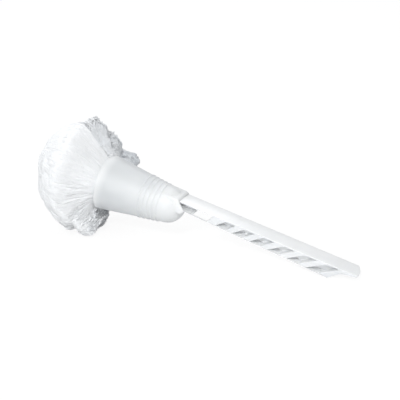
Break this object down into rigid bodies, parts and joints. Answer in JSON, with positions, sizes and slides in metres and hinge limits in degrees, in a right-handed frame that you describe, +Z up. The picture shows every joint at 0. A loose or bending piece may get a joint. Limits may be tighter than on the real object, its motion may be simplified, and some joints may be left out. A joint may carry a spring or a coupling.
{
  "type": "toilet bowl swab",
  "caption": "White toilet bowl swab: round head of loose yarn wired to a girder-like plastic handle, with a ringed cone that slides along the handle to wring the yarn.",
  "frame": {"origin": "middle of the underside of the bounding box, on the level surface that the swab lies on", "axes": "+X from the head to the grip, level; +Z up; the handle slopes down toward its grip in the XZ plane"},
  "size_m": [0.3076, 0.1022, 0.104],
  "materials": {
    "handle_plastic": "smooth satin white moulding",
    "cone_plastic": "thin, slightly translucent white moulding",
    "yarn": "loose fine white yarn",
    "steel_wire": "plain drawn wire"
  },
  "bodies": {
    "swab": {"handle": "handle_plastic", "yarn_core": "yarn", "binding_wire": "steel_wire", "yarn_crown": "yarn", "yarn_front_1": "yarn", "yarn_front_2": "yarn", "yarn_front_3": "yarn", "yarn_front_4": "yarn", "yarn_front_5": "yarn", "yarn_front_6": "yarn", "yarn_side_1": "yarn", "yarn_side_2": "yarn", "yarn_side_3": "yarn", "yarn_side_4": "yarn", "yarn_side_5": "yarn", "yarn_side_6": "yarn", "yarn_side_7": "yarn", "yarn_side_8": "yarn", "yarn_side_9": "yarn", "yarn_rear_1": "yarn", "yarn_rear_2": "yarn", "yarn_rear_3": "yarn", "yarn_rear_4": "yarn", "yarn_rear_5": "yarn", "yarn_rear_6": "yarn", "yarn_rear_7": "yarn", "yarn_rear_8": "yarn", "yarn_rear_9": "yarn", "yarn_rear_10": "yarn"},
    "wringer_cone": {"cone": "cone_plastic"}
  },
  "joints": [
    {"name": "cone_slide", "type": "slide", "parent": "swab", "child": "wringer_cone", "axis": [0.9726, 0, -0.2325], "range_m": [0, 0.06]}
  ]
}
